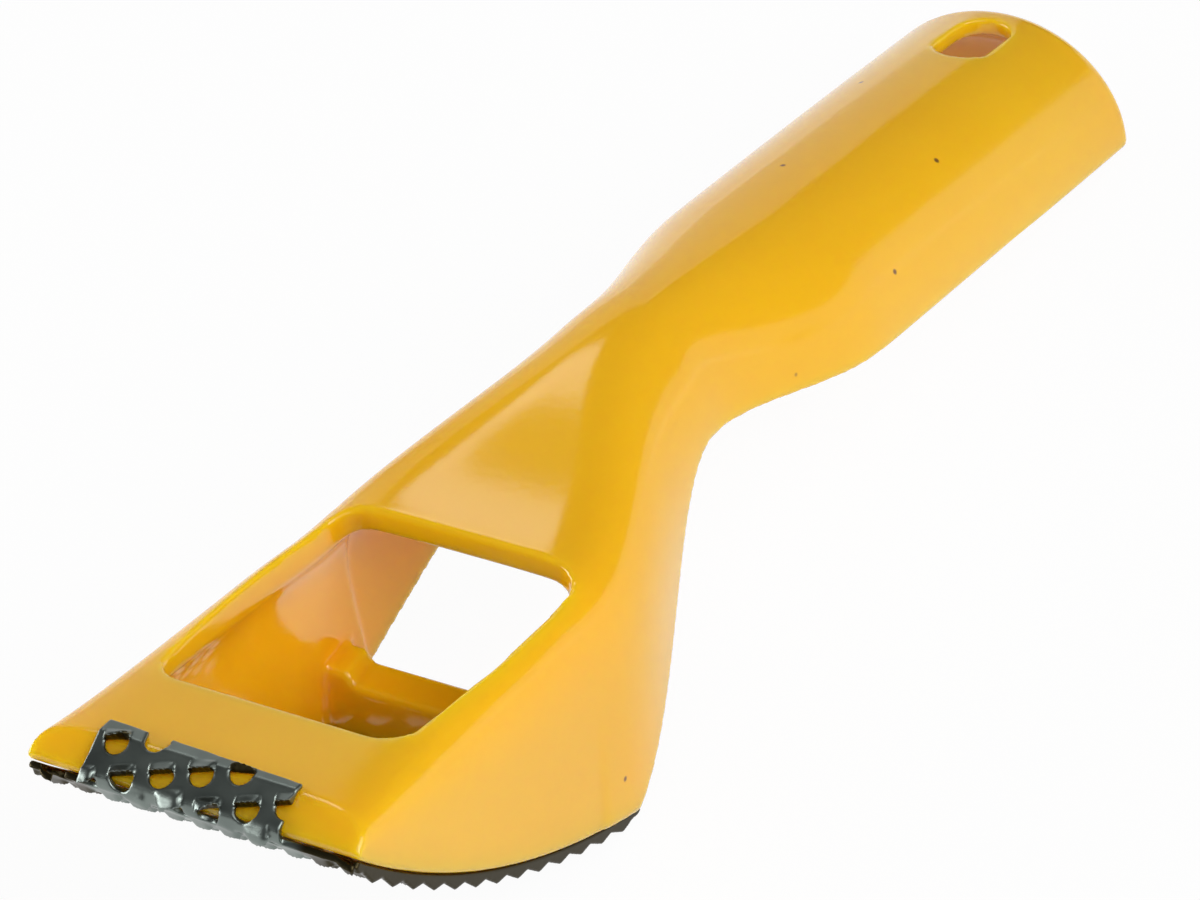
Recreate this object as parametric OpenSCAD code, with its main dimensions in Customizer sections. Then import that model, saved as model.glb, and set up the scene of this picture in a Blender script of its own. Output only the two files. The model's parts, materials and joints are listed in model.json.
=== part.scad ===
// Rasp plane: a hand shaver with a moulded body and a curved, perforated steel blade.
// Working frame: x runs back from the front lip along the handle, z is up from the handle's
// highest point and y is across. The finished tool stands on the blade's heel and the handle's end.

/* [Handle] */
// Length from the front lip to the end of the handle
overall_len = 183.6; // [165:0.2:205]
// Full width of the grip at the handle's end
grip_w = 34.6; // [30:0.2:38]
// How much narrower the grip is at its front
grip_taper = 2; // [0:0.5:4]
// Height of the grip, from its lower rim to its highest point
grip_h = 16; // [13:0.5:19]
// Full width of the neck at its narrowest
neck_w = 22.2; // [19:0.2:26]
// Height of the neck at its narrowest
neck_h = 14; // [12:0.5:16]
// Distance from the lip to the narrowest place of the neck
neck_x = 91; // [88:1:97]
// Length over which the neck widens into the grip
flare_len = 28; // [22:1:36]
// Radius of the slight curve along the top of the grip
crown_r = 1700; // [900:100:3000]
// Length of the rounding at the handle's end
end_round = 5; // [3:0.5:9]
// Thickness of the moulding
wall = 2.5; // [2:0.1:3]
// How far each side leans in from the rim to the top
draft = 0.3; // [0:0.1:0.6]

/* [Head] */
// Full width of the head
head_w = 42; // [38:0.5:46]
// How far the brow's front lies below the handle's highest point
brow_drop = 14.5; // [12:0.5:17]
// Rise of the brow towards the handle, in degrees
brow_slope = 2.6; // [0:0.2:5]
// Height of the brow's slight arch along its length
brow_arch = 0.3; // [0:0.1:0.6]
// Distance from the lip to where the brow starts to rise into the neck
rise_x = 46; // [44:1:50]
// Length over which the brow rises into the neck
rise_len = 46; // [40:1:50]
// Length of the bevel in front of the brow
bevel_len = 3.2; // [2:0.2:4.5]
// Depth of the lip, from the brow's plane to its lower edge
lip_depth = 3.2; // [2.8:0.2:4.6]
// Thickness of the lip's front edge
lip_t = 0.8; // [0.6:0.1:1.4]
// Length of the solid nose behind the lip
nose_len = 7; // [5:0.5:10]
// Length of the rear rim's sweep, from the heel up to the neck
sweep_len = 34; // [28:0.5:36]

/* [Window] */
// Distance from the lip to the window's front edge
window_x = 15.4; // [13:0.2:18]
// Length of the window
window_len = 37.2; // [32:0.2:39]
// Width of the window at its ends
window_w = 31; // [26:0.5:33]
// How far each side of the window bows out in the middle
window_bow = 1; // [0:0.1:1.6]
// Radius of the window's corners
window_r = 3.5; // [2:0.5:6]

/* [Hang hole] */
// Length of the hang hole
hang_len = 12; // [9:0.5:15]
// Width of the hang hole
hang_w = 7; // [5:0.5:9]
// Distance from the handle's end to the middle of the hang hole
hang_inset = 12.7; // [11:0.1:18]

/* [Blade] */
// Straight distance from the lip to the heel of the blade
blade_chord = 59.6; // [56:0.2:62]
// Slope of that line below the handle's axis, in degrees
blade_pitch = 24.2; // [22:0.2:27]
// Depth of the blade's curve
blade_sag = 3.9; // [3:0.1:5]
// Width of the blade
blade_w = 41; // [36:0.5:45]
// Thickness of the blade's steel
blade_t = 0.8; // [0.6:0.1:1]
// Gap between the blade and the moulding
blade_fit = 0.15; // [0.1:0.05:0.25]
// Width of the tab that hooks over the lip
hook_w = 25; // [20:0.5:30]
// How far the hook tab reaches over the brow, measured from the lip
hook_reach = 5; // [4:0.2:7]
// How far the hook tab stands off the middle of the blade
hook_shift = 0.9; // [0:0.1:2]
// Skew of the hook tab's end, in degrees
hook_skew = 2.3; // [0:0.1:4]
// Width of the blade's tail, where the screw holds it
tail_w = 20; // [14:0.5:26]
// How far the tail reaches up the bar, measured from the heel
tail_h = 6.8; // [6:0.1:7.2]
// Width of the slot in the tail
tail_slot_w = 3.4; // [3.2:0.1:4]

/* [Teeth] */
// Width of one hole through the blade
hole_w = 3; // [2.4:0.1:3.4]
// Depth of a hole's flat side from its middle
hole_flat = 0.9; // [0.6:0.1:1.2]
// Height of a tooth above the blade
tooth_h = 0.9; // [0.6:0.1:1.3]
// Length of the ramp up to a tooth's edge
tooth_ramp = 1.5; // [1:0.1:1.8]
// Distance between holes across the blade
pitch_y = 4.35; // [3.95:0.1:4.95]
// Distance between rows along the blade
pitch_s = 3.58; // [3.38:0.1:4.38]
// Sideways shift from one row to the next
shift_y = 2.4; // [2:0.1:3]
// Climb of a row from one hole to the next
row_climb = 1.45; // [0.85:0.1:1.65]
// Where the pattern starts along the blade, from the lip's lower edge
row_start = -5.4; // [-7:0.1:-3]
// Where the pattern starts across the blade, from its middle
row_side = 10.8; // [9:0.1:13]

/* [Heel bar and screw] */
// Distance from the heel forward to the bar's front face
bar_front = 3; // [2.9:0.1:4.5]
// Distance from the heel back to the bar's rear face
bar_back = 1.6; // [1.2:0.1:2]
// Height of the bar's front face above the heel
bar_front_h = 7.3; // [6.5:0.1:7.8]
// Height of the bar's rear face above the heel
bar_back_h = 8.4; // [7.4:0.1:9]
// Height of the screw's axis above the heel
screw_z = 4.1; // [3.9:0.1:4.3]
// Diameter of the screw's shank
screw_d = 3; // [2.5:0.1:3]
// Length of the screw under its head
screw_len = 5; // [4.6:0.1:5.2]
// Diameter of the screw's head
head_d = 5.6; // [5:0.1:6]
// Height of the screw's head
head_h = 2; // [1.8:0.1:2.4]
// Diameter of the washer
washer_d = 7; // [6.6:0.1:7.2]
// Thickness of the washer
washer_t = 0.5; // [0.4:0.1:0.8]
// Outer diameter of the thread insert
insert_d = 4.2; // [4:0.1:4.3]
// Length of the thread insert
insert_len = 3.5; // [3.2:0.1:3.6]
// Clearance of the screw in the thread insert, all round
thread_fit = 0.05; // [0.03:0.01:0.08]
// Clearance of the washer on the screw, all round
washer_fit = 0.1; // [0.05:0.05:0.2]
// Gap between pieces that are pressed together
seat_fit = 0.05; // [0.02:0.01:0.08]

/* [Hidden] */
eps = 0.01;
reach = 200;
arch_steps = 28;
round_fn = 64;

// How square a section is: 2 is an ellipse, and larger is boxier
square_head = 7;
square_grip = 2;
square_from = 36;
square_len = 50;
// How low the very end of the handle stays, as a share of its height
end_drop = 0.6;
// How far the rear rim's sweep starts ahead of the heel, so that it leaves the heel on a slope
sweep_lead = 7;
// How far ahead of the neck the rim starts to drop towards the grip
rim_lead = 4;
// How far in front of the neck the head's sides start to draw in
taper_len = 39;
// How far along the end rounding the last section lies, short of its closed tip
end_stop = 0.985;

// The blade's arc
blade_r = (pow(blade_chord, 2) / 4 + pow(blade_sag, 2)) / (2 * blade_sag);
half_arc = asin(blade_chord / 2 / blade_r);
lip_z = -brow_drop - lip_depth;
heel_x = blade_chord * cos(blade_pitch);
heel_z = lip_z - blade_chord * sin(blade_pitch);
lip_phi = -blade_pitch - half_arc;
heel_phi = -blade_pitch + half_arc;
arc_x = -blade_r * sin(lip_phi);
arc_z = lip_z + blade_r * cos(lip_phi);
arc_len = blade_r * 2 * half_arc * PI / 180;

// The rows' slant across the blade
row_slant = atan2(row_climb, pitch_y);
// The teeth that close the rows at the sides: width, and how much longer and higher than the others
side_w = 2.7;
side_run = 0.8;
side_rise = 0.1;
// Width of a tooth's edge as a share of the width of its ramp
edge_share = 0.8;
// How deep a tooth is rooted in the strip, and how thick its edge is
tooth_root = blade_t / 4;
// How far a tooth's ramp starts from its hole's middle, and the least room a tooth needs on the bevel
tooth_behind = hole_flat + tooth_root + hole_w / 2 * sin(row_slant);
tooth_least = tooth_behind + tooth_root;

// The bevel's fall and slanted length
bevel_fall = brow_z(bevel_len) - lip_z - lip_t;
bevel_run = norm([bevel_len, bevel_fall]);
bevel_slope = atan2(bevel_fall, bevel_len);
// The strip's run from the bevel's crest to the lip's lower edge, with what its bends add
bend_run = (blade_fit + blade_t / 2) * (180 - bevel_slope / 2 + lip_phi) * PI / 180;
crest_run = bevel_run + lip_t + bend_run;

// The heel bar, the screw and what it clamps
bar_x0 = heel_x - bar_front;
bar_x1 = heel_x + bar_back;
screw_zz = heel_z + screw_z;
tail_x = bar_x1 + blade_fit;
washer_x = tail_x + blade_t + seat_fit;
head_x = washer_x + washer_t + seat_fit;
insert_x = bar_x1 - seat_fit - insert_len;
tip_room = 0.5;

// Soft step from 0 to 1, and a signed power for the sections
function ease(t) = let (c = min(1, max(0, t))) c * c * (3 - 2 * c);
function signed_pow(v, p) = sign(v) * pow(abs(v), p);

// Profiles along the handle: top line, half width, squareness and lower rim
function brow_z(x) =
    -brow_drop + x * tan(brow_slope) + brow_arch * sin(180 * min(1, x / rise_x));
function crown_z(x) = -pow(x - neck_x - flare_len / 2, 2) / (2 * crown_r);
function top_z(x) =
    let (e = ease((x - rise_x) / rise_len)) (1 - e) * brow_z(x) + e * crown_z(x);
function grip_w_at(x) = grip_w - grip_taper * (overall_len - x) / (overall_len - neck_x);
function half_w(x) =
    head_w / 2
    + (neck_w - head_w) / 2 * ease((x - neck_x + taper_len) / taper_len)
    + (grip_w_at(x) - neck_w) / 2 * ease((x - neck_x) / flare_len);
function squareness(x) =
    square_grip + (square_head - square_grip) * (1 - ease((x - square_from) / square_len));
function arc_rim_z(x) = arc_z - sqrt(pow(blade_r, 2) - pow(x - arc_x, 2));
function sweep(x) = ease((x - heel_x + sweep_lead) / (sweep_len + sweep_lead));
function rim_z(x) =
    x < heel_x
        ? arc_rim_z(x)
        : heel_z
            + (-neck_h - heel_z) * (sweep(x) - sweep(heel_x)) / (1 - sweep(heel_x))
            + (neck_h - grip_h) * ease((x - neck_x + rim_lead) / flare_len);

// How far the end rounding has closed in at x, from 1 down to 0
function end_close(x, len) =
    let (u = max(0, (x - len + end_round) / end_round)) sqrt(max(0, 1 - u * u));

// One arched section at x, drawn in by inset and carried below the rim by foot
function arch(x, inset, foot) =
    let (
        e = end_close(x, overall_len - inset),
        w = (half_w(x) - inset) * e,
        lean = draft * e,
        low = rim_z(x),
        h = (top_z(x) - inset - low) * (1 - end_drop * (1 - e)),
        p = 2 / squareness(x)
    )
    concat(
        [[x, w, low - foot]],
        [for (i = [0:arch_steps]) let (a = 180 * i / arch_steps)
            let (up = signed_pow(sin(a), p))
            [x, (w - lean * up) * signed_pow(cos(a), p), low + h * up]],
        [[x, -w, low - foot]]
    );

// Where the sections stand: close together where the form bends, wider where it runs straight
function spread(from, to, step) =
    let (n = max(1, ceil((to - from) / step))) [for (i = [0:n - 1]) from + (to - from) * i / n];
function end_stations(len) =
    [for (a = [0:15:75]) len - end_round * (1 - end_stop * sin(a)), len - end_round * (1 - end_stop)];
function stations(from, len) = concat(
    spread(from, heel_x, 5),
    spread(heel_x, neck_x + flare_len, 3.2),
    spread(neck_x + flare_len, len - end_round, 9),
    end_stations(len)
);

// A closed form through a list of sections
module loft(sections) {
    for (i = [1:len(sections) - 1]) {
        pair = concat(sections[i - 1], sections[i]);
        hull() polyhedron(points = pair, faces = [[for (k = [0:len(pair) - 1]) k]]);
    }
}

// A flat outline in the side view, given a width across
module across(w) {
    rotate([90, 0, 0]) linear_extrude(w, center = true) children();
}

// Place something on the blade's inner face, s back from the lip and y across: x runs towards the
// heel and z points into the head
module on_arc(s, y) {
    phi = lip_phi + s / blade_r * 180 / PI;
    translate([arc_x, y, arc_z]) rotate([0, -phi, 0]) translate([0, 0, -blade_r]) children();
}

// Place something on the bevel, v down from its crest and y across: x runs down to the lip's edge
// and z points into the lip
module on_bevel(v, y) {
    translate([bevel_len, y, brow_z(bevel_len)])
        rotate([0, 180 - bevel_slope, 0]) translate([v, 0, 0]) children();
}

// Place something on the lip's front edge, y across: x runs down and z points into the lip
module on_lip(y) {
    translate([0, y, lip_z + lip_t / 2]) rotate([0, 90, 0]) children();
}

// What the bevel takes off the front of the head
module bevel_cut() {
    along = [cos(bevel_slope), sin(bevel_slope)];
    off = [-along[1], along[0]];
    low = [0, lip_z + lip_t] - along * bevel_run;
    high = low + along * bevel_run * 3;
    across(head_w + 1) polygon([low, high, high + off * bevel_run, low + off * bevel_run]);
}

module outer_form() {
    difference() {
        loft([for (x = stations(0, overall_len)) arch(x, 0, 0)]);
        bevel_cut();
    }
}

module hollow() {
    loft([for (x = stations(nose_len, overall_len - wall)) arch(x, wall, reach / 50)]);
}

// Bar across the heel: the blade's tail seats on its rear face
module heel_bar() {
    intersection() {
        outer_form();
        across(head_w)
            polygon([
                [bar_x0, heel_z - bar_back_h],
                [bar_x0, heel_z + bar_front_h],
                [bar_x1, heel_z + bar_back_h],
                [bar_x1, heel_z - bar_back_h]
            ]);
    }
}

// Window outline with bowed sides and rounded corners, seen from above
module window_outline() {
    bow_steps = 8;
    offset(r = window_r, $fn = round_fn) offset(delta = -window_r)
        polygon(concat(
            [for (i = [0:bow_steps]) let (t = i / bow_steps)
                [window_x + window_len * t, window_w / 2 + window_bow * sin(180 * t)]],
            [for (i = [bow_steps:-1:0]) let (t = i / bow_steps)
                [window_x + window_len * t, -window_w / 2 - window_bow * sin(180 * t)]]
        ));
}

module window_cut() {
    depth = brow_drop + wall * 2;
    translate([0, 0, -depth]) linear_extrude(depth) window_outline();
}

module hang_hole() {
    half_run = (hang_len - hang_w) / 2;
    translate([overall_len - hang_inset, 0, -grip_h / 2])
        linear_extrude(grip_h)
            union() {
                for (side = [-1, 1])
                    translate([side * half_run, 0]) circle(d = hang_w, $fn = round_fn);
                square([2 * half_run, hang_w], center = true);
            }
}

// Something turned about the screw's axis, starting at x and growing to the rear
module on_screw(x) {
    translate([x, 0, screw_zz]) rotate([0, 90, 0]) children();
}

module body() {
    color("goldenrod") stand() difference() {
        union() {
            difference() {
                outer_form();
                hollow();
            }
            heel_bar();
        }
        window_cut();
        hang_hole();
        on_screw(insert_x - tip_room)
            cylinder(d = insert_d + 2 * seat_fit, h = insert_len + 1, $fn = round_fn);
    }
}

// Side view of what the blade wraps round: brow, bevel, lip, arc, heel and the bar's rear face
module blade_core() {
    arc_steps = 14;
    polygon(concat(
        [
            [hook_reach + bevel_len, brow_z(hook_reach + bevel_len)],
            [bevel_len, brow_z(bevel_len)],
            [0, lip_z + lip_t]
        ],
        [for (i = [0:arc_steps]) let (x = heel_x * i / arc_steps) [x, arc_rim_z(x)]],
        [[bar_x1, rim_z(bar_x1)], [bar_x1, heel_z + bar_back_h]]
    ));
}

module blade_band() {
    difference() {
        offset(r = blade_fit + blade_t, $fn = 32) blade_core();
        offset(r = blade_fit, $fn = 32) blade_core();
    }
}

// Side view of the regions that hold the hook in front, the arc below and the tail behind
module hook_zone() {
    drop = [sin(lip_phi), -cos(lip_phi)] * lip_depth;
    far = hook_reach + bevel_len / 2;
    polygon([
        [-lip_depth, lip_z + drop[1]],
        [drop[0], lip_z + drop[1]],
        [0, lip_z],
        [far, lip_z],
        [far, brow_z(far) + lip_depth],
        [-lip_depth, brow_z(far) + lip_depth]
    ]);
}

module arc_zone() {
    far = blade_r * 1.1;
    difference() {
        polygon([
            [arc_x, arc_z],
            for (phi = [lip_phi - 1 : (heel_phi - lip_phi + 2) / 3 : heel_phi + 1.01])
                [arc_x, arc_z] + far * [sin(phi), -cos(phi)]
        ]);
        translate([arc_x, arc_z]) circle(r = blade_r - 1, $fn = round_fn);
    }
}

module tail_zone() {
    low = [sin(heel_phi), -cos(heel_phi)] * lip_depth;
    polygon([
        [heel_x, heel_z],
        [heel_x, heel_z] + low,
        [bar_x1 + lip_depth, heel_z + low[1]],
        [bar_x1 + lip_depth, heel_z + tail_h],
        [heel_x, heel_z + tail_h]
    ]);
}

// What is taken off both sides of a zone so that it is only w wide, shifted across by off
module sides_of(w, off) {
    for (side = [-1, 1])
        translate([0, off + side * (w / 2 + blade_w), 0]) across(2 * blade_w) children();
}

module blade_strip() {
    difference() {
        across(blade_w) intersection() {
            blade_band();
            union() {
                hook_zone();
                arc_zone();
                tail_zone();
            }
        }
        sides_of(hook_w, hook_shift) hook_zone();
        sides_of(tail_w, 0) tail_zone();
        translate([hook_reach, hook_shift, 0]) rotate([0, 0, -hook_skew])
            translate([0, -blade_w, lip_z]) cube([hook_reach, 2 * blade_w, 2 * lip_depth]);
        tail_slot();
    }
}

// Slot for the screw, open at the tail's end so that the blade slips off a loosened screw
module tail_slot() {
    on_screw(bar_x1 - eps) cylinder(d = tail_slot_w, h = blade_t * 3, $fn = round_fn);
    translate([bar_x1, -tail_slot_w / 2, screw_zz]) cube([blade_t * 3, tail_slot_w, bar_back_h]);
}

// One hole: flat towards the lip, round towards the heel, its flat side along the slanted row
module hole_cut() {
    r = hole_w / 2;
    rotate([0, 0, -row_slant]) translate([0, 0, -blade_t * 3])
        linear_extrude(blade_t * 6)
            polygon(concat(
                [for (a = [-90:45:90]) [r * cos(a), r * sin(a)]],
                [[-hole_flat, r], [-hole_flat, -r]]
            ));
}

// One tooth: a ramp that rises from the lip's side and ends in an edge over the hole; near the
// strip's bend the ramp keeps to the room it has
module tooth(room, run, w, rise) {
    ramp = min(run, room - tooth_behind);
    edge_w = w * edge_share;
    face = -blade_fit - blade_t;
    rotate([0, 0, -row_slant]) hull() {
        translate([-hole_flat - tooth_root - ramp, -w / 2, face + tooth_root])
            cube([ramp, w, tooth_root]);
        translate([-hole_flat, -edge_w / 2, face - rise])
            cube([tooth_root, edge_w, tooth_root]);
    }
}

// The slanted rows of holes: place along the strip from the lip's lower edge, and place across it
row_holes = [
    for (j = [-3:24], i = [-24:12])
        [row_start + j * pitch_s - i * row_climb, row_side - i * pitch_y - j * shift_y]
];
near_arc = [
    for (h = row_holes)
        if (h[0] > -tooth_root && h[0] < arc_len - hole_flat && abs(h[1]) < blade_w / 2 + hole_w / 5) h
];
arc_holes = [for (h = near_arc) if (h[0] > tooth_least) h];
// Where each row ends at the blade's sides
side_teeth = [
    for (side = [-1, 1], j = [-8:24])
        let (
            k = row_climb / pitch_y,
            s = row_start - k * (row_side - side * blade_w / 2) + j * (pitch_s + k * shift_y)
        )
            if (s > tooth_least && s < arc_len - hole_flat) [s, side * blade_w / 2]
];
// The same rows carried round the lip and up the bevel, measured down from the bevel's crest
near_hook = [
    for (h = row_holes)
        let (v = h[0] + crest_run)
            if (v > -hole_w / 2 && h[0] < -tooth_root && abs(h[1] - hook_shift) < hook_w / 2 + hole_w / 5)
                [v, h[1]]
];
hook_holes = [for (h = near_hook) if (h[0] < bevel_run - hole_w / 8) h];
lip_holes = [for (h = near_hook) if (h[0] >= bevel_run - hole_w / 8) h];
// The lowest corner of a tooth's edge, after the strip's side has cut it
function tooth_tip(h, w, rise) =
    let (
        back = tooth_root - hole_flat,
        side = (blade_w / 2 - h[1] + back * sin(row_slant)) / cos(row_slant),
        run = back * cos(row_slant) + min(w * edge_share / 2, side) * sin(row_slant),
        phi = lip_phi + (h[0] + run) / blade_r * 180 / PI
    )
    [arc_x, arc_z] + (blade_r + blade_fit + blade_t + rise) * [sin(phi), -cos(phi)];
// The floor touches the tooth edge and the handle's end that lie lowest together
heel_low = [heel_x, heel_z] + (blade_fit + blade_t) * [sin(heel_phi), -cos(heel_phi)];
tips = [
    heel_low,
    for (h = arc_holes) tooth_tip(h, hole_w, tooth_h),
    for (h = side_teeth) tooth_tip(h, side_w, tooth_h + side_rise)
];
end_tip = [overall_len - end_round * (1 - end_stop), -grip_h];
stand_tilt = max([for (t = tips) atan2(end_tip[1] - t[1], end_tip[0] - t[0])]);
floor_z = end_tip[1] * cos(stand_tilt) - end_tip[0] * sin(stand_tilt);
front_x = min(
    lip_z * sin(stand_tilt) - blade_fit - blade_t,
    min([for (t = tips) t[0] * cos(stand_tilt) + t[1] * sin(stand_tilt)])
);
back_x = max([
    for (x = end_stations(overall_len), p = arch(x, 0, 0))
        p[0] * cos(stand_tilt) + p[2] * sin(stand_tilt)
]);

// Set the working frame down on the floor, with the origin under the middle of the tool
module stand() {
    translate([-(front_x + back_x) / 2, 0, -floor_z]) rotate([0, stand_tilt, 0]) children();
}

module rasp_blade() {
    color("slategray") stand() {
        difference() {
            blade_strip();
            for (h = near_arc) on_arc(h[0], h[1]) hole_cut();
            for (h = lip_holes) on_lip(h[1]) hole_cut();
            for (h = hook_holes) on_bevel(h[0], h[1]) hole_cut();
        }
        intersection() {
            union() {
                for (h = arc_holes)
                    on_arc(h[0], h[1]) tooth(h[0], tooth_ramp, hole_w, tooth_h);
                for (h = side_teeth)
                    on_arc(h[0], h[1]) tooth(h[0], tooth_ramp + side_run, side_w, tooth_h + side_rise);
                for (h = hook_holes) if (h[0] > tooth_least)
                    on_bevel(h[0], h[1]) tooth(h[0], tooth_ramp, hole_w, tooth_h);
            }
            translate([-reach / 2, -blade_w / 2, -reach / 2]) cube([reach, blade_w, reach]);
        }
    }
}

module blade_screw() {
    recess_w = head_d / 6;
    recess_l = head_d / 1.8;
    recess_h = head_h / 2;
    color("silver") stand() on_screw(head_x) difference() {
        union() {
            intersection() {
                cylinder(d = head_d, h = head_h, $fn = round_fn);
                translate([0, 0, head_h - head_d]) sphere(r = head_d, $fn = round_fn);
            }
            translate([0, 0, -screw_len]) cylinder(d = screw_d, h = screw_len + eps, $fn = round_fn);
        }
        for (a = [0, 90])
            rotate([0, 0, a]) translate([-recess_l / 2, -recess_w / 2, head_h - recess_h])
                cube([recess_l, recess_w, recess_h * 2]);
    }
}

module screw_washer() {
    color("silver") stand() on_screw(washer_x) difference() {
        cylinder(d = washer_d, h = washer_t, $fn = round_fn);
        translate([0, 0, -eps])
            cylinder(d = screw_d + 2 * washer_fit, h = washer_t + 2 * eps, $fn = round_fn);
    }
}

module thread_insert() {
    color("darkgoldenrod") stand() on_screw(insert_x) difference() {
        cylinder(d = insert_d, h = insert_len, $fn = round_fn);
        translate([0, 0, -eps])
            cylinder(d = screw_d + 2 * thread_fit, h = insert_len + 2 * eps, $fn = round_fn);
    }
}

echo(stand_tilt = stand_tilt, floor_z = floor_z, mid_x = (front_x + back_x) / 2);
echo(heel = [heel_x, heel_z], screw_axis = [head_x, screw_zz], holes = len(arc_holes));

body();
rasp_blade();
blade_screw();
screw_washer();
thread_insert();
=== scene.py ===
"""Rasp plane: a yellow moulded hand shaver with a curved perforated steel blade.

The shapes are worked out in the tool's own frame, in millimetres: x runs back from the front lip
along the handle, y is across and z is up from the handle's highest point. place() stands them on
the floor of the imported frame, in metres.
"""

import json
import math

import bpy
import numpy as np
import openvdb
from mathutils import Matrix, Quaternion, Vector


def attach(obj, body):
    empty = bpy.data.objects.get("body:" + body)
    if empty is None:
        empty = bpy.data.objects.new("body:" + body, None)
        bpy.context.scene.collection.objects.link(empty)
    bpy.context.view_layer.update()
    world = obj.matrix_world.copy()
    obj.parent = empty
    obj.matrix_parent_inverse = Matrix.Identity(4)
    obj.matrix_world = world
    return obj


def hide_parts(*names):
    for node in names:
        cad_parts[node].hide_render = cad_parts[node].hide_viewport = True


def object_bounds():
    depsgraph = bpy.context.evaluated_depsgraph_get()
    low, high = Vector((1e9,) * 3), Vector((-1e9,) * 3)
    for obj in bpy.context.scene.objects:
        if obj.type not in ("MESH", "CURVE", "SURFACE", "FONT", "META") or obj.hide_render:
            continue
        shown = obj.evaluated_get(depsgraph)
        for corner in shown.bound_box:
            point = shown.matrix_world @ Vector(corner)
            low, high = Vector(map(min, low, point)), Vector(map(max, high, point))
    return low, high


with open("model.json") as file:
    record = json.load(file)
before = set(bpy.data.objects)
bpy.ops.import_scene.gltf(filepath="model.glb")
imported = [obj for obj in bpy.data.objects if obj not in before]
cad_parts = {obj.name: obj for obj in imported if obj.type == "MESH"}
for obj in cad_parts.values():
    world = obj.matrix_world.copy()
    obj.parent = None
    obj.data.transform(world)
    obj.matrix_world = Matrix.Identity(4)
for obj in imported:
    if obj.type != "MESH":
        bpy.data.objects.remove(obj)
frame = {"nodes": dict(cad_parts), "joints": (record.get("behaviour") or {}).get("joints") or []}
cad_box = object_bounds()

# Driving sizes of the moulding, in millimetres
MM = 0.001
LENGTH = 183.6
GRIP_W, GRIP_TAPER, GRIP_H = 34.6, 2.0, 16.0
NECK_W, NECK_H, NECK_X = 22.2, 14.0, 91.0
FLARE = 28.0
CROWN_R = 1700.0
WALL = 2.5
HEAD_W = 42.0
BROW_DROP, BROW_SLOPE, BROW_ARCH = 14.5, math.radians(2.6), 0.3
RISE_X, RISE_LEN = 46.0, 46.0
BEVEL = 3.2
LIP_DEPTH, LIP_T = 3.2, 0.8
NOSE = 7.0
SWEEP, SWEEP_LEAD, RIM_LEAD = 34.0, 7.0, 4.0
TAPER = 39.0
SQUARE_HEAD, SQUARE_GRIP, SQUARE_FROM, SQUARE_LEN = 7.0, 2.0, 36.0, 50.0
# The rounded end: its run, how much it drops, and the least square of the share left at its tip
END_ROUND, END_DROP, END_LEAST = 5.0, 0.6, 0.0006
# No section of the form is lower than this, and no slope is taken as less than this
LEAST_H, LEAST_SLOPE = 0.01, 0.001
# The moulding's draft: how far each side leans in at the top and stands out at the rear rim
DRAFT, RIM_OUT = 0.3, 0.25
# The roof is thicker along the window's rear edge: by how much, and half the length of it
REAR_RIB, REAR_RUN = 0.4, 5.0
# The side walls are thinner behind a line that leans back as it goes down: step, place and lean
WALL_STEP, STEP_X, STEP_Z, STEP_LEAN = 0.35, 54.0, -14.5, 0.235
WINDOW_X, WINDOW_LEN, WINDOW_W, WINDOW_BOW = 15.4, 37.2, 31.0, 1.0
WINDOW_FRONT_R, WINDOW_REAR_R = 3.8, 3.2
HANG_LEN, HANG_W, HANG_INSET = 12.0, 7.0, 12.7
BAR_FRONT, BAR_BACK, BAR_FRONT_H, BAR_BACK_H = 3.0, 1.6, 7.3, 8.4
# The bar runs up into a small gusset at each side wall
GUSSET_Y, GUSSET_H = 14.4, 1.4

# Roundings of the moulding: of its openings, of its outer edges, inside it, and of the heel bar
WINDOW_EDGE, HANG_EDGE = 0.5, 0.35
END_EDGE, FRONT_EDGE, BEVEL_EDGE = 0.4, 0.25, 0.35
RIM_EDGE, RIM_EDGE_MORE = 0.25, 0.4
NOSE_INSIDE, SHELL_EDGE = 2.0, 0.1
BAR_EDGE, BAR_ROOT = 0.6, 1.2

# Driving sizes of the blade, the screw and the insert, in millimetres
CHORD, PITCH, SAG = 59.6, math.radians(24.2), 3.9
BLADE_W, BLADE_T, BLADE_FIT = 41.0, 0.8, 0.15
HOOK_W, HOOK_REACH, HOOK_SHIFT, HOOK_SKEW = 25.0, 5.0, 0.9, math.radians(2.3)
TAIL_W, TAIL_H, TAIL_SLOT = 20.0, 6.8, 3.4
SCREW_Z, WASHER_T, SEAT_FIT = 4.1, 0.5, 0.05
INSERT_D, INSERT_LEN, TIP_ROOM = 4.2, 3.5, 0.5
# The strip's bends at the bevel's crest and the lip's two edges, and at the heel and the tail
HOOK_BENDS, TAIL_BENDS = [0.8, 0.7, 0.7], [0.9, 0.9]
# The strip keeps its full width for this run past the heel
HEEL_RUN = 0.8
ARC_POINTS, BEND_STEPS = 25, 8
# Step of the search along the strip, and half the run over which its direction is measured
SEARCH_STEP, LEAN_RUN = 0.02, 0.25

# The holes in their slanted rows, and the numbers of rows and of holes in a row that are tried
ROW_Y, ROW_S, SHIFT_Y, CLIMB = 4.35, 3.58, 2.4, 1.45
ROW_START, ROW_SIDE = -5.4, 10.8
ROWS, ROW_HOLES = range(-3, 25), range(-24, 13)
SLANT = math.atan2(CLIMB, ROW_Y)
# Hole and tooth on the arc: hole's width, flat behind its middle, ramp's run and tooth's height
HOLE_W, HOLE_FLAT, TOOTH_RAMP, TOOTH_H = 3.0, 0.9, 1.9, 0.85
# The same on the tab, which is thinner, where the steel was drawn over the lip
TAB_HOLE_W, TAB_FLAT, TAB_RAMP, TAB_TOOTH = 2.8, 0.35, 1.3, 1.05
TAB_T = 0.55
# A hole still counts with its middle this far outside the strip
HOLE_OUT = HOLE_W / 5
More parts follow.
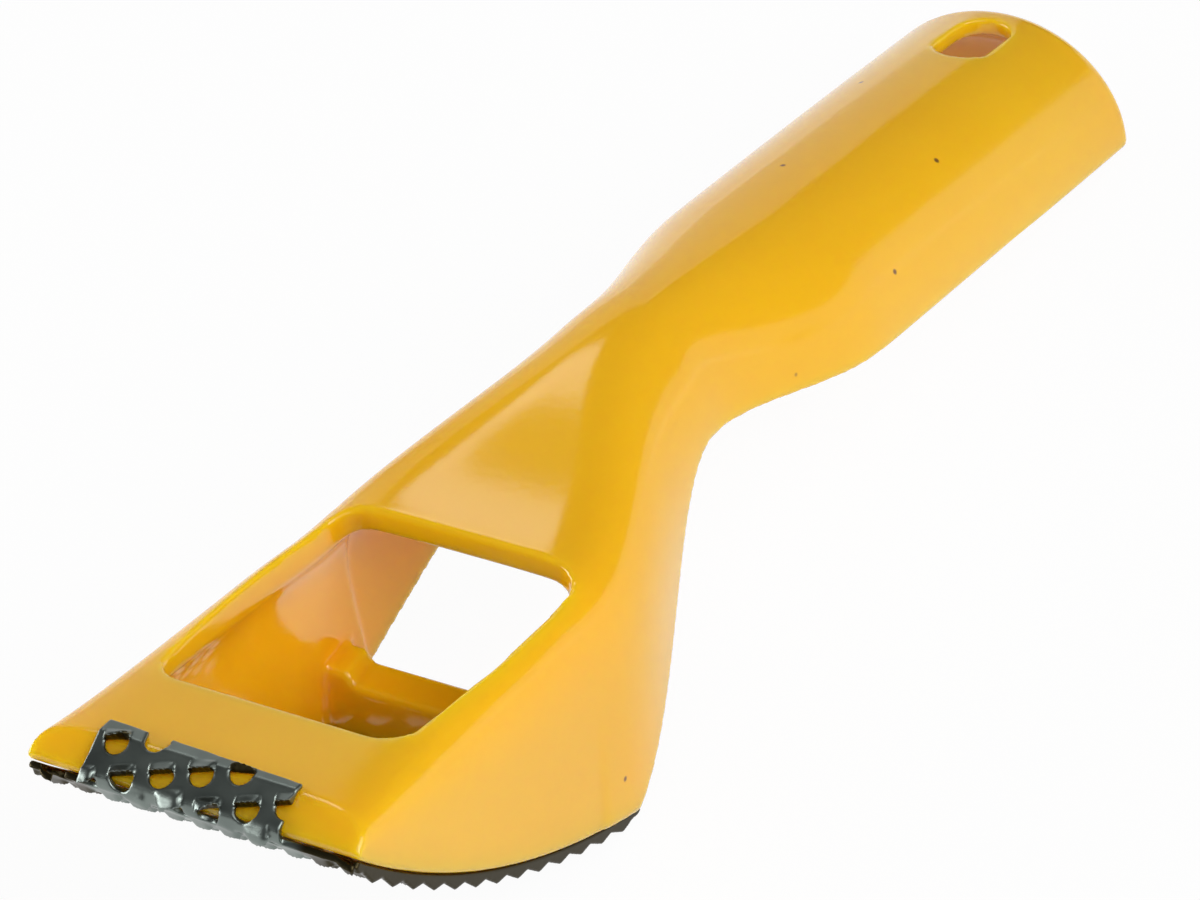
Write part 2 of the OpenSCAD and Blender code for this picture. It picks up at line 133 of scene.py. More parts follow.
# A tooth's ramp: how steeply it rises, its half width as a share of the hole, its squareness
RAMP_POWER, TOOTH_HALF, TOOTH_SQUARE = 1.3, 0.52, 4
# How far a hole and its tooth reach from the hole's middle, across the row and along it
REACH_A, REACH_B = 4.0, 3.0
# A distance beyond any hole's reach
FAR = 9.0
# A tab's hole is an open notch within this share of its width from the tab's end
OPEN_SHARE = 0.45
# The tab's teeth fade out over this run at its end
TAB_FADE = 1.2
# The strip's corrugation: its height inside, at the sides, and between two ridges at the sides
WAVE_H, SIDE_H, SIDE_LOW = 0.35, 0.98, 0.2
# A ridge's fall, the band at the sides, the part of it without holes, and the inner face's step
WAVE_FALL, SIDE_BAND, SIDE_SOLID, SIDE_FADE = 1.7, 2.4, 1.3, 0.6
# The corrugation starts and stops this far from the lip and the heel, over these runs
LIP_CLEAR, LIP_FADE, HEEL_CLEAR, HEEL_FADE = 0.6, 1.6, 0.2, 1.2
STRIP_EDGE = 0.12
# Painted shade on the steel, in a dark brown: its run beside the tab, and on a tab tooth's front face
# its depth and top
SHADE_RUN, SHADE_DEPTH, SHADE_TOP = 2.0, 0.2, 0.15

# Meshing: cells kept on each side of a surface, and the sizes of a cell, quick and in full
BAND_CELLS = 2.5
BODY_CELLS, STRIP_CELLS, STRIP_CELL_DEPTH = (0.6, 0.4), (0.3, 0.2), 0.75
# Room round the moulding, its grid's floor, and room round the strip, under it and over it
BODY_ROOM, BODY_FLOOR = 1.5, -45.0
STRIP_ROOM, STRIP_UNDER, STRIP_OVER = 1.0, 1.2, 2.4

# Colours as linear values, each pair from dark to light
YELLOW = ((0.85, 0.44, 0.007), (0.88, 0.475, 0.009))
DIRT = (0.20, 0.09, 0.02)
STEEL = ((0.14, 0.165, 0.155), (0.26, 0.30, 0.275))
# The dark brown of the painted shade on the blade's sides and on the tab teeth's front faces
SHADE_BROWN = (0.042, 0.034, 0.016)
ZINC, BRASS, METAL_DARK = (0.62, 0.63, 0.64), (0.72, 0.5, 0.2), 0.85
FLOOR_TONE = (0.86, 0.86, 0.86)

# The photograph's camera in the tool's own frame: its place, what it looks at, a point above it
CAMERA_AT = (-431.59, -325.58, 322.74)
CAMERA_AIM = (81.88, 0.00, -15.58)
CAMERA_ABOVE = (-388.53, -302.75, 410.06)
CAMERA_LENS, CAMERA_SENSOR = 184.087, 36.0
CAMERA_NEAR, CAMERA_FAR = 0.01, 20.0

# The stage and the lamps, in metres, watts and degrees: direction from the tool, size, power, roll
FLOOR_HALF, FLOOR_GAP, FLOOR_GLOW, WORLD_LEVEL = 3.0, 0.0002, 0.95, 0.12
LAMP_AIM, LAMP_FAR = Vector((0, 0, 0.02)), 0.9
LAMPS = [
    ("side", (-0.05, -0.8, 0.55), (0.6, 0.5), 4.8, 0.0),
    ("key", (-0.35, -0.45, 0.82), (0.8, 0.8), 3.3, 0.0),
    ("horizon", (0.84, -0.54, 0.07), (1.0, 0.26), 0.65, 0.0),
    ("sheen", (0.72, 0.52, 0.25), (0.6, 0.6), 0.6, 0.0),
    ("window", (0.469, 0.477, 0.743), (0.245, 0.168), 0.36, -35.6),
    ("back", (-0.3, 0.9, 0.2), (0.8, 0.3), 6.0, 0.0),
]

# Places that follow from the sizes
ARC_R = (CHORD**2 / 4 + SAG**2) / (2 * SAG)
HALF_ARC = math.asin(CHORD / 2 / ARC_R)
LIP_Z = -BROW_DROP - LIP_DEPTH
HEEL_X = CHORD * math.cos(PITCH)
HEEL_Z = LIP_Z - CHORD * math.sin(PITCH)
LIP_PHI = -PITCH - HALF_ARC
HEEL_PHI = -PITCH + HALF_ARC
ARC_X = -ARC_R * math.sin(LIP_PHI)
ARC_Z = LIP_Z + ARC_R * math.cos(LIP_PHI)
ARC_LEN = ARC_R * 2 * HALF_ARC
# Lengths along the arc grow by this much from the moulding's face to the middle of the steel
MID_SCALE = 1 + (BLADE_FIT + BLADE_T / 2) / ARC_R
BAR_X0, BAR_X1 = HEEL_X - BAR_FRONT, HEEL_X + BAR_BACK

# The screw's joint in the frame says how the tool stands: its axis is the tool's own x
turn = next(j for j in frame["joints"] if j["name"] == "screw_turn")
SEAT_X = BAR_X1 + BLADE_FIT + BLADE_T + WASHER_T + 2 * SEAT_FIT
SEAT_Z = HEEL_Z + SCREW_Z
TILT = math.atan2(-turn["axis"][2], turn["axis"][0])


def place(points):
    """Points in the tool's own frame, in mm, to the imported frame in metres."""
    p = np.asarray(points, dtype=float)
    c, s = math.cos(TILT), math.sin(TILT)
    dx = turn["pos_m"][0] - MM * (SEAT_X * c + SEAT_Z * s)
    dz = turn["pos_m"][2] - MM * (-SEAT_X * s + SEAT_Z * c)
    x, y, z = p[..., 0], p[..., 1], p[..., 2]
    return np.stack(
        [MM * (x * c + z * s) + dx, MM * y, MM * (-x * s + z * c) + dz], axis=-1
    )


# Profiles along the handle
def ease(t):
    """Soft step from 0 to 1."""
    c = np.clip(t, 0.0, 1.0)
    return c * c * (3 - 2 * c)


def brow_z(x):
    """The head's top line."""
    arch = BROW_ARCH * np.sin(np.pi * np.clip(x / RISE_X, 0, 1))
    return -BROW_DROP + x * math.tan(BROW_SLOPE) + arch


def top_z(x):
    """The whole top line: the brow, the rise behind it and the handle's crown."""
    crown = -((x - NECK_X - FLARE / 2) ** 2) / (2 * CROWN_R)
    e = ease((x - RISE_X) / RISE_LEN)
    return (1 - e) * brow_z(x) + e * crown


def half_w(x):
    """Half the width: head, neck and grip."""
    grip_w = GRIP_W - GRIP_TAPER * (LENGTH - x) / (LENGTH - NECK_X)
    return (
        HEAD_W / 2
        + (NECK_W - HEAD_W) / 2 * ease((x - NECK_X + TAPER) / TAPER)
        + (grip_w - NECK_W) / 2 * ease((x - NECK_X) / FLARE)
    )


def squareness(x):
    """The exponent of the arched section: high is square, 2 is round."""
    head = 1 - ease((x - SQUARE_FROM) / SQUARE_LEN)
    return SQUARE_GRIP + (SQUARE_HEAD - SQUARE_GRIP) * head


def rim_z(x):
    """The lower rim: the blade's arc as far as the heel, then up to the neck and the grip."""

    def sweep(v):
        return ease((v - HEEL_X + SWEEP_LEAD) / (SWEEP + SWEEP_LEAD))

    # Far from the blade the arc isn't used, and only has to be a number there
    arc = ARC_Z - np.sqrt(np.maximum(ARC_R**2 - (x - ARC_X) ** 2, 1.0))
    back = (
        HEEL_Z
        + (-NECK_H - HEEL_Z) * (sweep(x) - sweep(HEEL_X)) / (1 - sweep(HEEL_X))
        + (NECK_H - GRIP_H) * ease((x - NECK_X + RIM_LEAD) / FLARE)
    )
    return np.where(x < HEEL_X, arc, back)


# Signed fields, negative inside, and their meshes
def smooth_max(a, b, r):
    """The larger of two fields, blended over r where they are close."""
    h = np.clip(0.5 + 0.5 * (a - b) / r, 0.0, 1.0)
    return b + (a - b) * h + r * h * (1 - h)


def to_distance(f, step):
    """A field with the right zero surface, scaled to be a distance near it."""
    gx, gy, gz = np.gradient(f, *step)
    return f / np.sqrt(gx * gx + gy * gy + gz * gz + LEAST_SLOPE**2)


def grid(lo, hi, step):
    """Coordinates of a box of cells, one axis each, ready to broadcast."""
    axes = [np.arange(a, b + s, s) for a, b, s in zip(lo, hi, step)]
    return np.meshgrid(*axes, indexing="ij", sparse=True)


def mesh_of(name, field, lo, step, bend=None):
    """A closed mesh of the field's zero surface, bent by bend() and set on its place."""
    band = BAND_CELLS * max(step)
    vdb = openvdb.FloatGrid(background=band)
    vdb.copyFromArray(np.clip(field, -band, band).astype(np.float32))
    points, quads = vdb.convertToQuads(0.0)
    local = np.asarray(points) * np.asarray(step) + np.asarray(lo)
    tool = bend(local) if bend else local
    # The blade's bend turns its outer side down, which mirrors the strip and so turns its faces
    corners = quads[:, ::-1] if bend else quads
    mesh = bpy.data.meshes.new(name)
    mesh.vertices.add(len(tool))
    mesh.vertices.foreach_set("co", place(tool).astype(np.float32).ravel())
    mesh.loops.add(4 * len(quads))
    mesh.loops.foreach_set("vertex_index", corners.astype(np.int32).ravel())
    mesh.polygons.add(len(quads))
    mesh.polygons.foreach_set("loop_start", np.arange(0, 4 * len(quads), 4, dtype=np.int32))
    mesh.polygons.foreach_set("use_smooth", np.ones(len(quads), dtype=bool))
    mesh.update(calc_edges=True)
    mesh.validate()
    piece = bpy.data.objects.new(name, mesh)
    bpy.context.collection.objects.link(piece)
    return piece, local


# The moulding
def section_field(x, y, z, inset, step):
    """Distance to the arched form drawn in by inset, open below."""
    length = LENGTH - inset
    u = np.clip((x - length + END_ROUND) / END_ROUND, 0.0, 1.0)
    e = np.sqrt(np.maximum(1 - u * u, END_LEAST))
    w = (half_w(x) - inset) * e
    low = rim_z(x)
    h = np.maximum((top_z(x) - inset - low) * (1 - END_DROP * (1 - e)), LEAST_H)
    m = squareness(x)
    t = np.clip((z - low) / h, 0.0, 1.0)
    foot = RIM_OUT * ease((x - RISE_X) / WALL) * (1 - ease((x - NECK_X) / FLARE)) * (1 - t) ** 2
    ry = np.abs(y) / (w + (foot - DRAFT * t) * e)
    rz = np.maximum(z - low, 0.0) / h
    f = (ry**m + rz**m) ** (1 / m) - 1
    d = to_distance(f * np.minimum(w, h), step)
    return smooth_max(d, x - length, END_EDGE)


def window_field(x, y, z):
    """Distance to the window's cut: bowed sides, wide front corners, tighter rear ones."""
    t = (x - WINDOW_X) / WINDOW_LEN
    r = WINDOW_FRONT_R + (WINDOW_REAR_R - WINDOW_FRONT_R) * ease(t)
    hw = WINDOW_W / 2 + WINDOW_BOW * np.sin(np.pi * np.clip(t, 0, 1))
    qx = np.abs(x - WINDOW_X - WINDOW_LEN / 2) - WINDOW_LEN / 2 + r
    qy = np.abs(y) - hw + r
    outline = (
        np.hypot(np.maximum(qx, 0), np.maximum(qy, 0))
        + np.minimum(np.maximum(qx, qy), 0)
        - r
    )
    floor_z = -BROW_DROP - 2 * WALL
    return np.maximum(outline, floor_z - z)


def hang_field(x, y):
    """Distance to the hang hole's cut, a slot along the grip."""
    run = (HANG_LEN - HANG_W) / 2
    qx = np.maximum(np.abs(x - LENGTH + HANG_INSET) - run, 0)
    return np.hypot(qx, y) - HANG_W / 2


def bevel_field(x, z):
    """Distance above the slanted plane that cuts the front of the brow."""
    fall = float(brow_z(BEVEL)) - LIP_Z - LIP_T
    return ((z - LIP_Z - LIP_T) * BEVEL - x * fall) / math.hypot(BEVEL, fall)


def bar_field(x, y, z):
    """Distance to the heel bar: flat front and rear faces and a top that rises to the rear."""
    rise = (BAR_BACK_H - BAR_FRONT_H) / (BAR_X1 - BAR_X0)
    gusset = GUSSET_H * ease((np.abs(y) - GUSSET_Y) / GUSSET_H)
    top = HEEL_Z + BAR_FRONT_H + (x - BAR_X0) * rise + gusset
    over = (z - top) / math.hypot(1, rise)
    ends = np.abs(x - (BAR_X0 + BAR_X1) / 2) - (BAR_X1 - BAR_X0) / 2
    return smooth_max(over, ends, BAR_EDGE)


def wall_at(x, y, z):
    """The wall's thickness: the step in the side walls and the rib behind the window."""
    step_x = STEP_X - STEP_LEAN * (z - STEP_Z)
    wall = WALL - WALL_STEP * ease((x - step_x) / (2 * WALL_STEP))
    rib = REAR_RIB * ease(1 - np.abs(x - WINDOW_X - WINDOW_LEN) / REAR_RUN)
    # The rib fades out over the outer quarter of the window's width on each side
    return wall + rib * ease(2 - np.abs(4 * y / WINDOW_W))


def body_field(x, y, z, step):
    """Distance to the whole moulding: the shell, its edges, its openings and the insert's bore."""
    outer = section_field(x, y, z, 0.0, step)
    inner = section_field(x, y, z, wall_at(x, y, z), step)
    inner = smooth_max(inner, NOSE - x, NOSE_INSIDE)
    hollow = smooth_max(inner, -bar_field(x, y, z), BAR_ROOT)
    shell = smooth_max(outer, -hollow, SHELL_EDGE)
    slope = np.gradient(rim_z(x[:, :, 0]).ravel(), step[0]).reshape(-1, 1, 1)
    under = (rim_z(x) - z) / np.sqrt(1 + slope**2)
    shell = smooth_max(shell, under, RIM_EDGE + RIM_EDGE_MORE * ease((x - BEVEL) / NOSE))
    shell = smooth_max(shell, bevel_field(x, z), BEVEL_EDGE)
    shell = smooth_max(shell, -x, FRONT_EDGE)
    shell = smooth_max(shell, -window_field(x, y, z), WINDOW_EDGE)
    shell = smooth_max(shell, -hang_field(x, y), HANG_EDGE)
    bore_end = BAR_X1 - INSERT_LEN - TIP_ROOM - SEAT_FIT
    bore = np.maximum(np.hypot(y, z - SEAT_Z) - INSERT_D / 2 - SEAT_FIT, bore_end - x)
    return np.maximum(shell, -bore)


def build_body():
    quick, full = BODY_CELLS
    step = (full,) * 3
    side = HEAD_W / 2 + BODY_ROOM
    lo = (-BODY_ROOM, -side, BODY_FLOOR)
    hi = (LENGTH + BODY_ROOM, side, BODY_ROOM)
    x, y, z = grid(lo, hi, step)
    piece, _ = mesh_of("body_shell", body_field(x, y, z, step), lo, step)
    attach(piece, "tool")
    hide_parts("body")
    return piece


# The blade
def fillet(points, radii):
    """The polyline with its corners rounded; a radius of 0 leaves the corner as it is."""
    out = [points[0]]
    for before, at, after, r in zip(points, points[1:], points[2:], radii):
        if r == 0:
            out.append(at)
            continue
        a = (before - at) / np.linalg.norm(before - at)
        b = (after - at) / np.linalg.norm(after - at)
        half = math.acos(np.clip(a @ b, -1, 1)) / 2
        run = r / math.tan(half)
        centre = at + (a + b) / np.linalg.norm(a + b) * r / math.sin(half)
        p, q = at + a * run - centre, at + b * run - centre
        sweep = math.pi - 2 * half
        side = np.sign(p[0] * q[1] - p[1] * q[0])
        for k in range(BEND_STEPS + 1):
            t = side * sweep * k / BEND_STEPS
            turned = (
                p[0] * math.cos(t) - p[1] * math.sin(t),
                p[0] * math.sin(t) + p[1] * math.cos(t),
            )
            out.append(centre + np.array(turned))
    out.append(points[-1])
    return np.array(out)


def offset_line(points, d):
    """The open polyline moved sideways by d, with mitred corners."""
    points = np.array(points, dtype=float)
    along = np.diff(points, axis=0)
    along /= np.linalg.norm(along, axis=1)[:, None]
    normal = np.stack([-along[:, 1], along[:, 0]], axis=1)
    out = [points[0] + d * normal[0]]
    for k in range(1, len(points) - 1):
        both = normal[k - 1] + normal[k]
        out.append(points[k] + d * both * 2 / (both @ both))
    out.append(points[-1] + d * normal[-1])
    return out


def strip_path():
    """Middle line of the blade's steel in the side view, from the hook's end to the tail's."""
    arc = [
        (ARC_X + ARC_R * math.sin(p), ARC_Z - ARC_R * math.cos(p))
        for p in np.linspace(LIP_PHI, HEEL_PHI, ARC_POINTS)
    ]
    far = HOOK_REACH + HOOK_W * math.tan(HOOK_SKEW)
    core = [(far, float(brow_z(far))), (BEVEL, float(brow_z(BEVEL)))]
    core += [(0.0, LIP_Z + LIP_T)] + arc
    core += [(BAR_X1, float(rim_z(np.array(BAR_X1)))), (BAR_X1, HEEL_Z + TAIL_H)]
    line = offset_line(core, -(BLADE_FIT + BLADE_T / 2))
    path = fillet(line, HOOK_BENDS + [0] * (ARC_POINTS - 2) + TAIL_BENDS)
    run = np.concatenate([[0], np.cumsum(np.linalg.norm(np.diff(path, axis=0), axis=1))])
    return path, run


def strip_marks(path, run):
    """Distances along the strip beside the bevel's crest, the lip's lower edge and the heel."""
    fine = np.arange(0.0, run[-1], SEARCH_STEP)
    px, pz = np.interp(fine, run, path[:, 0]), np.interp(fine, run, path[:, 1])
    mid = BLADE_FIT + BLADE_T / 2

    def nearest(x, z):
        return fine[np.argmin(np.hypot(px - x, pz - z))]

    def on_arc(phi):
        return ARC_X + (ARC_R + mid) * math.sin(phi), ARC_Z - (ARC_R + mid) * math.cos(phi)

    crest = np.array([BEVEL, float(brow_z(BEVEL))])
    down = np.array([0.0, LIP_Z + LIP_T]) - crest
    down /= np.linalg.norm(down)
    beside = crest + mid * np.array([down[1], -down[0]])
    return nearest(*beside), nearest(*on_arc(LIP_PHI)), nearest(*on_arc(HEEL_PHI))


def blade_holes(marks):
    """Middles of the holes in their slanted rows: distance along the strip, distance across."""
    crest_s, lip_s, _ = marks
    holes = []
    for j in ROWS:
        for i in ROW_HOLES:
            s = ROW_START + j * ROW_S - i * CLIMB
            y = ROW_SIDE - i * ROW_Y - j * SHIFT_Y
            mid, half = (0.0, BLADE_W / 2) if s > 0 else (HOOK_SHIFT, HOOK_W / 2)
            if abs(y - mid) > half + HOLE_OUT or s > ARC_LEN - HOLE_FLAT:
                continue
            along = lip_s + s * (MID_SCALE if s > 0 else 1)
            if along > crest_s - HOLE_W / 2:
                holes.append((along, y))
    return holes


def slanted(ds, dy):
    """Distances from a hole's middle across its slanted row and along it."""
    a = ds * math.cos(SLANT) - dy * math.sin(SLANT)
    b = ds * math.sin(SLANT) + dy * math.cos(SLANT)
    return a, b


def tab_end(y, marks):
    """Where the tab's slanted end lies along the strip."""
    middle = marks[0] - (HOOK_REACH - BEVEL) / math.cos(BROW_SLOPE)
    return middle - (y - HOOK_SHIFT) * math.tan(HOOK_SKEW)


def row_wave(s, y, marks):
    """How far the corrugated strip stands out at the arc's rows: a ridge before each row's holes."""
    _, lip_s, heel_s = marks
    slope = CLIMB / ROW_Y
    step = ROW_S + slope * SHIFT_Y
    r = (s - lip_s) / MID_SCALE - ROW_START - slope * (y - ROW_SIDE)
    u = np.mod(r + HOLE_FLAT * math.hypot(1, slope), step)
    ridge = np.where(u < WAVE_FALL, 1 - u / WAVE_FALL, (u - WAVE_FALL) / (step - WAVE_FALL))
    edge = ease((np.abs(y) - BLADE_W / 2 + SIDE_BAND) / SIDE_BAND)
    high = WAVE_H + (SIDE_H - WAVE_H) * edge
    ends = ease((s - lip_s - LIP_CLEAR) / LIP_FADE) * ease((heel_s - HEEL_CLEAR - s) / HEEL_FADE)
    return (SIDE_LOW * edge + (high - SIDE_LOW * edge) * ridge) * ends


def holes_and_teeth(s, y, marks):
    """Over the flat strip: distance to the holes, rise of its outer face, rise of its inner face."""
    lip_s = marks[1]
    lift = row_wave(s, y, marks)
    filled = lift * ease((np.abs(y) - BLADE_W / 2 + SIDE_SOLID + SIDE_FADE) / SIDE_FADE)
    cut = np.full(lift.shape, FAR)
    shade_fill = 0 * lift
    end_s = tab_end(y, marks)
    for hs, hy in blade_holes(marks):
        tab = hs < lip_s
        wide, flat, run, high = (
            (TAB_HOLE_W, TAB_FLAT, TAB_RAMP, TAB_TOOTH)
            if tab
            else (HOLE_W, HOLE_FLAT, TOOTH_RAMP, TOOTH_H)
        )
        a, b = slanted(s - hs, y - hy)
        near = (np.abs(a) < REACH_A) & (np.abs(b) < REACH_B)
        back = -flat - a
        climb = np.clip(1 - back / run, 0, 1)
        side = np.clip(1 - (np.abs(b) / (wide * TOOTH_HALF)) ** TOOTH_SQUARE, 0, 1)
        up = high * climb**RAMP_POWER * np.sqrt(side) * (back > 0)
        up = up * ease((s - end_s) / TAB_FADE)
        if hs < tab_end(hy, marks) + wide * OPEN_SHARE:
            hole = np.where(a < 0, np.abs(b), np.hypot(a, b)) - wide / 2
        else:
            hole = np.maximum(np.hypot(a, b) - wide / 2, -flat - a)
            lift = np.where(near, np.maximum(lift, up), lift)
            # On the tab each tooth is filled in solid below, standing in for the shaded gap under it;
            # its front face takes painted shade
            if tab:
                shade_fill = np.where(near, np.maximum(shade_fill, up), shade_fill)
        if not tab:
            hole = np.maximum(hole, np.abs(y) - BLADE_W / 2 + SIDE_SOLID)
        cut = np.where(near, np.minimum(cut, hole), cut)
    # The inner face follows the outer one, but stays flat where the steel is solid and under the
    # tab's filled-in teeth
    return cut, lift, np.maximum(lift - np.maximum(filled, shade_fill), 0)


def blade_field(s, y, n, marks, total):
    """Distance to the flat strip with its holes and pressed-up teeth; n points outwards."""
    _, lip_s, heel_s = marks
    cut, lift, under = holes_and_teeth(s, y, marks)
    thin = (BLADE_T - TAB_T) * ease((lip_s - s) / BEVEL)
    outside = n - lift - BLADE_T / 2 + thin
    inside = under - n - BLADE_T / 2
    sheet = smooth_max(np.maximum(outside, inside), -cut, STRIP_EDGE)
    wide = np.where(s < heel_s + HEEL_RUN, BLADE_W / 2, TAIL_W / 2)
    half = np.where(s < lip_s, HOOK_W / 2, wide)
    mid = np.where(s < lip_s, HOOK_SHIFT, 0.0)
    sides = np.abs(y - mid) - half
    hook_end = tab_end(y, marks) - s
    slot_s = total - (TAIL_H - SCREW_Z)
    slot = np.hypot(np.minimum(s - slot_s, 0), y) - TAIL_SLOT / 2
    edge = np.maximum(np.maximum(sides, hook_end), np.maximum(s - total, -slot))
    return smooth_max(sheet, edge, STRIP_EDGE)


def shade_share_at(local, marks):
    """Share of painted shade, dark brown: at the sides below the lip and on the tab teeth's front
    faces.
    """
    s, y, n = local.T
    # Painted shade on the strip's sides below the lip, outside the tab's width
    beside = ease((np.abs(y) - HOOK_W / 2) / SHADE_RUN) * (s > marks[1])
    # Painted shade on the front face of each tab tooth, below its top edge, standing for the shaded
    # gap under it
    top = TAB_TOOTH + TAB_T - BLADE_T / 2 - SHADE_TOP
    front = np.zeros(len(local))
    for hs, hy in blade_holes(marks):
        if hs < marks[1]:
            a, b = slanted(s - hs, y - hy)
            face = (np.abs(a + TAB_FLAT) < SHADE_DEPTH) & (np.abs(b) < TAB_HOLE_W / 2)
            front = np.maximum(front, face & (n < top))
    return np.maximum(beside, front)


def build_blade():
    path, run = strip_path()
    marks = strip_marks(path, run)
    total = run[-1]
    quick, full = STRIP_CELLS
    size = full
    step = (size, size, size * STRIP_CELL_DEPTH)
    lo = (-STRIP_ROOM, -BLADE_W / 2 - STRIP_ROOM, -STRIP_UNDER)
    hi = (total + STRIP_ROOM, BLADE_W / 2 + STRIP_ROOM, STRIP_OVER)
    s, y, n = grid(lo, hi, step)

    def bend(p):
        a = np.clip(p[:, 0], 0, total)
        cx = np.interp(a, run, path[:, 0])
        cz = np.interp(a, run, path[:, 1])
        ahead, behind = a + LEAN_RUN, a - LEAN_RUN
        tx = np.interp(ahead, run, path[:, 0]) - np.interp(behind, run, path[:, 0])
        tz = np.interp(ahead, run, path[:, 1]) - np.interp(behind, run, path[:, 1])
        size_t = np.hypot(tx, tz)
        tx, tz = tx / size_t, tz / size_t
        return np.stack([cx + p[:, 2] * tz, p[:, 1], cz - p[:, 2] * tx], axis=1)

    field = blade_field(s, y, n, marks, total)
    piece, local = mesh_of("blade_strip", field, lo, step, bend)
    # The share of painted shade goes on the strip as a point attribute
    layer = piece.data.attributes.new("painted_shade", "FLOAT", "POINT")
    layer.data.foreach_set("value", shade_share_at(local, marks).astype(np.float32))
    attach(piece, "tool")
    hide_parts("rasp_blade")
    return piece


# Materials
def shader(name):
    mat = bpy.data.materials.new(name)
    mat.use_nodes = True
    nodes, links = mat.node_tree.nodes, mat.node_tree.links
    return mat, nodes, links, nodes["Principled BSDF"]


def opaque(colour):
    return tuple(colour) + (1,)


def noise(nodes, links, coords, scale, detail):
    node = nodes.new("ShaderNodeTexNoise")
    node.inputs["Scale"].default_value = scale
    node.inputs["Detail"].default_value = detail
    links.new(coords.outputs["Object"], node.inputs["Vector"])
    return node


def ramp(nodes, links, source, start, first, end, last):
    """A colour ramp from the first colour at start to the last one at end."""
    node = nodes.new("ShaderNodeValToRGB")
    links.new(source, node.inputs["Fac"])
    low, high = node.color_ramp.elements
    low.position, low.color = start, opaque(first)
    high.position, high.color = end, opaque(last)
    return node


def spread(nodes, links, source, low, high):
    """A value between 0 and 1 spread over the range from low to high."""
    node = nodes.new("ShaderNodeMapRange")
    node.inputs["To Min"].default_value = low
    node.inputs["To Max"].default_value = high
    links.new(source, node.inputs["Value"])
    return node


def bump(nodes, links, source, onto, strength, distance, after=None):
    node = nodes.new("ShaderNodeBump")
    node.inputs["Strength"].default_value = strength
    node.inputs["Distance"].default_value = distance
    links.new(source, node.inputs["Height"])
    if after:
        links.new(after.outputs["Normal"], node.inputs["Normal"])
    links.new(node.outputs["Normal"], onto.inputs["Normal"])
    return node


def tint(nodes, links, share, below, colour):
    """The colour laid over what is below, by the given share."""
    node = nodes.new("ShaderNodeMix")
    node.data_type = "RGBA"
    links.new(share, node.inputs["Factor"])
    links.new(below, node.inputs["A"])
    node.inputs["B"].default_value = opaque(colour)
    return node


def yellow_plastic():
    mat, nodes, links, bsdf = shader("yellow_plastic")
    coords = nodes.new("ShaderNodeTexCoord")
    flow = noise(nodes, links, coords, scale=22.0, detail=2.0)
    dark, light = YELLOW
    tone = ramp(nodes, links, flow.outputs["Fac"], start=0.3, first=dark, end=0.75, last=light)
    # A few dark specks of dirt moulded in: the middles of scattered cells
    cells = nodes.new("ShaderNodeTexVoronoi")
    cells.inputs["Scale"].default_value = 90.0
    links.new(coords.outputs["Object"], cells.inputs["Vector"])
    speck = ramp(
        nodes, links, cells.outputs["Distance"],
        start=0.022, first=(1, 1, 1), end=0.040, last=(0, 0, 0),
    )
    dirty = tint(nodes, links, speck.outputs["Color"], tone.outputs["Color"], DIRT)
    links.new(dirty.outputs["Result"], bsdf.inputs["Base Color"])
    grain = noise(nodes, links, coords, scale=900.0, detail=2.0)
    smear = noise(nodes, links, coords, scale=60.0, detail=4.0)
    rough = spread(nodes, links, smear.outputs["Fac"], low=0.09, high=0.16)
    links.new(rough.outputs["Result"], bsdf.inputs["Roughness"])
    fine = bump(nodes, links, grain.outputs["Fac"], bsdf, strength=0.12, distance=0.0001)
    bump(nodes, links, flow.outputs["Fac"], bsdf, strength=0.10, distance=0.0006, after=fine)
    # The light that soaks in travels far as red and green and hardly as blue
    bsdf.inputs["IOR"].default_value = 1.5
    bsdf.inputs["Subsurface Weight"].default_value = 0.85
    bsdf.inputs["Subsurface Radius"].default_value = (1.0, 0.9, 0.08)
    bsdf.inputs["Subsurface Scale"].default_value = 0.006
    return mat


def blued_steel():
    mat, nodes, links, bsdf = shader("blued_steel")
    coords = nodes.new("ShaderNodeTexCoord")
    patch = noise(nodes, links, coords, scale=140.0, detail=4.0)
    dark, light = STEEL
    tone = ramp(nodes, links, patch.outputs["Fac"], start=0.3, first=dark, end=0.8, last=light)
    # Painted shade in dark brown, laid over the steel's tone where the strip's attribute says so
    painted_shade = nodes.new("ShaderNodeAttribute")
    painted_shade.attribute_name = "painted_shade"
    mix = tint(nodes, links, painted_shade.outputs["Fac"], tone.outputs["Color"], SHADE_BROWN)
    links.new(mix.outputs["Result"], bsdf.inputs["Base Color"])
    rough = spread(nodes, links, patch.outputs["Fac"], low=0.26, high=0.42)
    links.new(rough.outputs["Result"], bsdf.inputs["Roughness"])
    bsdf.inputs["Metallic"].default_value = 1.0
    fine = noise(nodes, links, coords, scale=700.0, detail=3.0)
    bump(nodes, links, fine.outputs["Fac"], bsdf, strength=0.15, distance=0.0001)
    return mat


def plain_metal(name, colour):
    mat, nodes, links, bsdf = shader(name)
    coords = nodes.new("ShaderNodeTexCoord")
    patch = noise(nodes, links, coords, scale=300.0, detail=3.0)
    dark = tuple(METAL_DARK * c for c in colour)
    tone = ramp(nodes, links, patch.outputs["Fac"], start=0.3, first=dark, end=0.8, last=colour)
    links.new(tone.outputs["Color"], bsdf.inputs["Base Color"])
    rough = spread(nodes, links, patch.outputs["Fac"], low=0.25, high=0.4)
    links.new(rough.outputs["Result"], bsdf.inputs["Roughness"])
    bsdf.inputs["Metallic"].default_value = 1.0
    return mat


def set_material(piece, mat):
    piece.data.materials.clear()
    piece.data.materials.append(mat)


